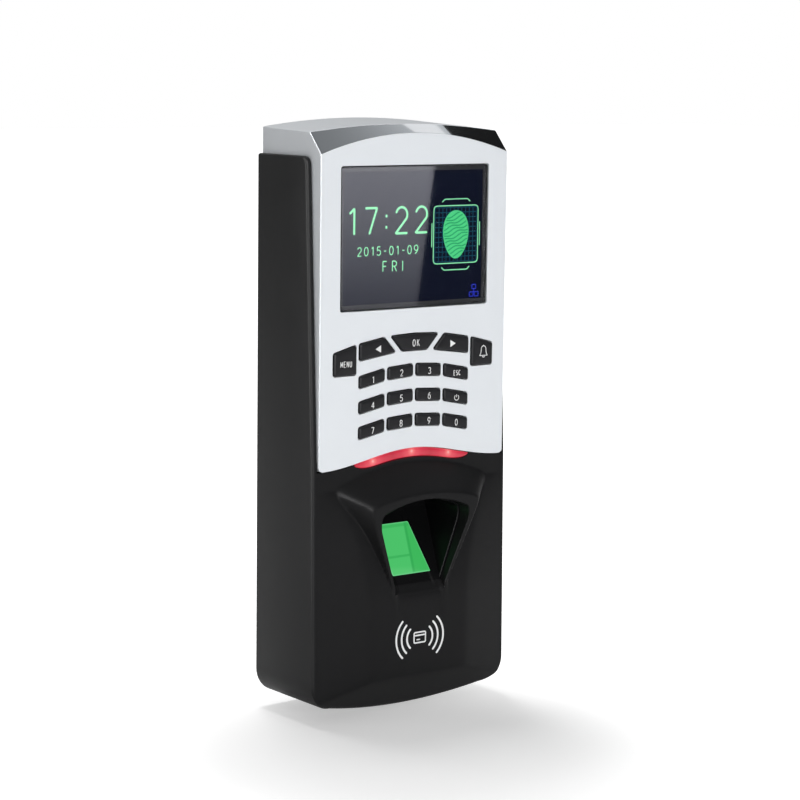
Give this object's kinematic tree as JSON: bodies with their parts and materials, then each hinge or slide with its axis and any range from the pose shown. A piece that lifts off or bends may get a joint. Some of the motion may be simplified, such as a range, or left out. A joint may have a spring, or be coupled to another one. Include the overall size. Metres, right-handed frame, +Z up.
{
  "type": "fingerprint access terminal",
  "caption": "Tall wall-mounted fingerprint terminal: black case, silver arched front cap with colour display and keypad, light bar, hooded finger recess with green sensor, steel wall plate.",
  "frame": {"origin": "middle of the wall plate's back face", "axes": "+X to the right seen from the front, +Y into the wall, +Z up"},
  "size_m": [0.084, 0.0444, 0.2036],
  "materials": {
    "black_plastic": "fine spark-eroded black ABS, satin on worn edges",
    "guide_plastic": "smooth black plastic, a little glossier than the case",
    "silver_paint": "silver-white paint on plastic, mirror-bright bevel along the top",
    "key_plastic": "black caps with white printed legends",
    "display_glass": "clear lens with a dark grey printed border",
    "lcd_surface": "lit colour display, near-black blue with green figures",
    "rubber": "matt silicone rubber",
    "red_lens": "translucent red diffuser, lit",
    "sensor_glass": "optical glass lit green from behind",
    "circuit_board": "green solder mask",
    "chip_plastic": "black moulded epoxy",
    "terminal_plastic": "green moulded plastic",
    "plated_steel": "zinc-plated sheet steel",
    "screw_steel": "plated screws",
    "flex_film": "amber film cable"
  },
  "bodies": {
    "terminal": {"front_case": "black_plastic", "silver_cap": "silver_paint", "display_lens": "display_glass", "display_gasket": "rubber", "lcd_panel": "lcd_surface", "lcd_tray": "plated_steel", "keypad_mat": "rubber", "keypad_board": "circuit_board", "light_bar": "red_lens", "led_board": "circuit_board", "inner_frame": "black_plastic", "finger_guide": "guide_plastic", "sensor_prism": "sensor_glass", "sensor_module": "chip_plastic", "rear_cover": "black_plastic", "wall_plate": "plated_steel", "main_board": "circuit_board", "power_board": "circuit_board", "network_socket": "plated_steel", "terminal_block_left": "terminal_plastic", "terminal_block_right": "terminal_plastic", "relay": "chip_plastic", "processor": "chip_plastic", "memory_chip": "chip_plastic", "reader_coil_board": "circuit_board", "speaker": "plated_steel", "buzzer": "chip_plastic", "cell_holder": "chip_plastic", "coin_cell": "plated_steel", "tamper_switch": "chip_plastic", "case_screw_1": "screw_steel", "case_screw_2": "screw_steel", "case_screw_3": "screw_steel", "case_screw_4": "screw_steel", "frame_screw_1": "screw_steel", "frame_screw_2": "screw_steel", "frame_screw_3": "screw_steel", "frame_screw_4": "screw_steel", "security_screw": "screw_steel", "display_flex": "flex_film", "sensor_cable": "flex_film"},
    "ok_key": {"key_ok": "key_plastic"},
    "left_key": {"key_left": "key_plastic"},
    "right_key": {"key_right": "key_plastic"},
    "menu_key": {"key_menu": "key_plastic"},
    "bell_key": {"key_bell": "key_plastic"},
    "one_key": {"key_1": "key_plastic"},
    "two_key": {"key_2": "key_plastic"},
    "three_key": {"key_3": "key_plastic"},
    "esc_key": {"key_esc": "key_plastic"},
    "four_key": {"key_4": "key_plastic"},
    "five_key": {"key_5": "key_plastic"},
    "six_key": {"key_6": "key_plastic"},
    "power_key": {"key_power": "key_plastic"},
    "seven_key": {"key_7": "key_plastic"},
    "eight_key": {"key_8": "key_plastic"},
    "nine_key": {"key_9": "key_plastic"},
    "zero_key": {"key_0": "key_plastic"},
    "plunger": {"tamper_plunger": "key_plastic"}
  },
  "joints": [
    {"name": "ok_press", "type": "slide", "parent": "terminal", "child": "ok_key", "axis": [0, 1, 0], "range_m": [0, 0.001], "stiffness_N_per_m": 900},
    {"name": "left_press", "type": "slide", "parent": "terminal", "child": "left_key", "axis": [0, 1, 0], "range_m": [0, 0.001], "stiffness_N_per_m": 900},
    {"name": "right_press", "type": "slide", "parent": "terminal", "child": "right_key", "axis": [0, 1, 0], "range_m": [0, 0.001], "stiffness_N_per_m": 900},
    {"name": "menu_press", "type": "slide", "parent": "terminal", "child": "menu_key", "axis": [0, 1, 0], "range_m": [0, 0.001], "stiffness_N_per_m": 900},
    {"name": "bell_press", "type": "slide", "parent": "terminal", "child": "bell_key", "axis": [0, 1, 0], "range_m": [0, 0.001], "stiffness_N_per_m": 900},
    {"name": "one_press", "type": "slide", "parent": "terminal", "child": "one_key", "axis": [0, 1, 0], "range_m": [0, 0.001], "stiffness_N_per_m": 900},
    {"name": "two_press", "type": "slide", "parent": "terminal", "child": "two_key", "axis": [0, 1, 0], "range_m": [0, 0.001], "stiffness_N_per_m": 900},
    {"name": "three_press", "type": "slide", "parent": "terminal", "child": "three_key", "axis": [0, 1, 0], "range_m": [0, 0.001], "stiffness_N_per_m": 900},
    {"name": "esc_press", "type": "slide", "parent": "terminal", "child": "esc_key", "axis": [0, 1, 0], "range_m": [0, 0.001], "stiffness_N_per_m": 900},
    {"name": "four_press", "type": "slide", "parent": "terminal", "child": "four_key", "axis": [0, 1, 0], "range_m": [0, 0.001], "stiffness_N_per_m": 900},
    {"name": "five_press", "type": "slide", "parent": "terminal", "child": "five_key", "axis": [0, 1, 0], "range_m": [0, 0.001], "stiffness_N_per_m": 900},
    {"name": "six_press", "type": "slide", "parent": "terminal", "child": "six_key", "axis": [0, 1, 0], "range_m": [0, 0.001], "stiffness_N_per_m": 900},
    {"name": "power_press", "type": "slide", "parent": "terminal", "child": "power_key", "axis": [0, 1, 0], "range_m": [0, 0.001], "stiffness_N_per_m": 900},
    {"name": "seven_press", "type": "slide", "parent": "terminal", "child": "seven_key", "axis": [0, 1, 0], "range_m": [0, 0.001], "stiffness_N_per_m": 900},
    {"name": "eight_press", "type": "slide", "parent": "terminal", "child": "eight_key", "axis": [0, 1, 0], "range_m": [0, 0.001], "stiffness_N_per_m": 900},
    {"name": "nine_press", "type": "slide", "parent": "terminal", "child": "nine_key", "axis": [0, 1, 0], "range_m": [0, 0.001], "stiffness_N_per_m": 900},
    {"name": "zero_press", "type": "slide", "parent": "terminal", "child": "zero_key", "axis": [0, 1, 0], "range_m": [0, 0.001], "stiffness_N_per_m": 900},
    {"name": "tamper_press", "type": "slide", "parent": "terminal", "child": "plunger", "axis": [0, -1, 0], "range_m": [0, 0.001], "stiffness_N_per_m": 500}
  ]
}
